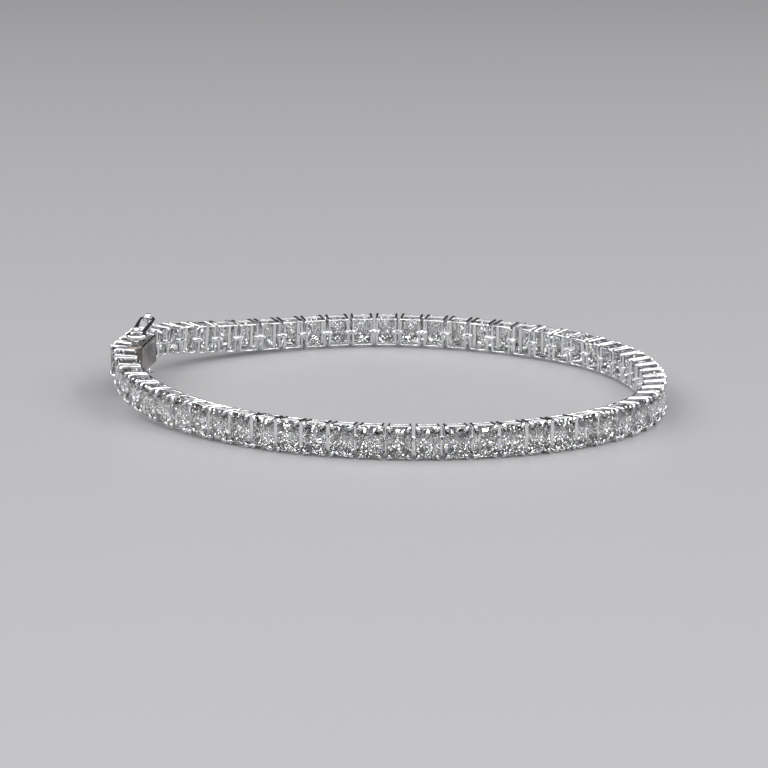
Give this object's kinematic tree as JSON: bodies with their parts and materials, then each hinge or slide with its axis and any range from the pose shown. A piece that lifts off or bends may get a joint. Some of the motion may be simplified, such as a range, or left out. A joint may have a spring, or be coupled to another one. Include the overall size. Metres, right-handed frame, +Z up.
{
  "type": "tennis bracelet",
  "caption": "Closed bracelet line of cut-corner rectangular stones in claw baskets, standing on its side edge, with a tongue-and-box clasp and figure-eight safety catches.",
  "frame": {"origin": "middle of the loop's outline on the surface that the bracelet stands on", "axes": "+Z up, along the band's height; +X to the right and +Y to the back, seen from the front of the loop; the clasp is at -X"},
  "size_m": [0.0602, 0.0586, 0.0073],
  "materials": {
    "polished_metal": "polished white gold",
    "clear_stone": "faceted and polished"
  },
  "bodies": {
    "bracelet": {"stone_line_front": "polished_metal", "stone_line_back": "polished_metal", "clasp_box": "polished_metal", "clasp_tongue": "polished_metal"},
    "catch_upper": {"safety_catch_upper": "polished_metal"},
    "catch_lower": {"safety_catch_lower": "polished_metal"}
  },
  "joints": [
    {"name": "catch_upper_hinge", "type": "hinge", "parent": "bracelet", "child": "catch_upper", "pos_m": [-0.02627, 0.01028, 0.00675], "axis": [-0.9884, 0.1517, 0], "range_deg": [0, 120]},
    {"name": "catch_lower_hinge", "type": "hinge", "parent": "bracelet", "child": "catch_lower", "pos_m": [-0.0263, 0.0101, 0.00063], "axis": [0.9884, -0.1517, 0], "range_deg": [0, 120]}
  ]
}
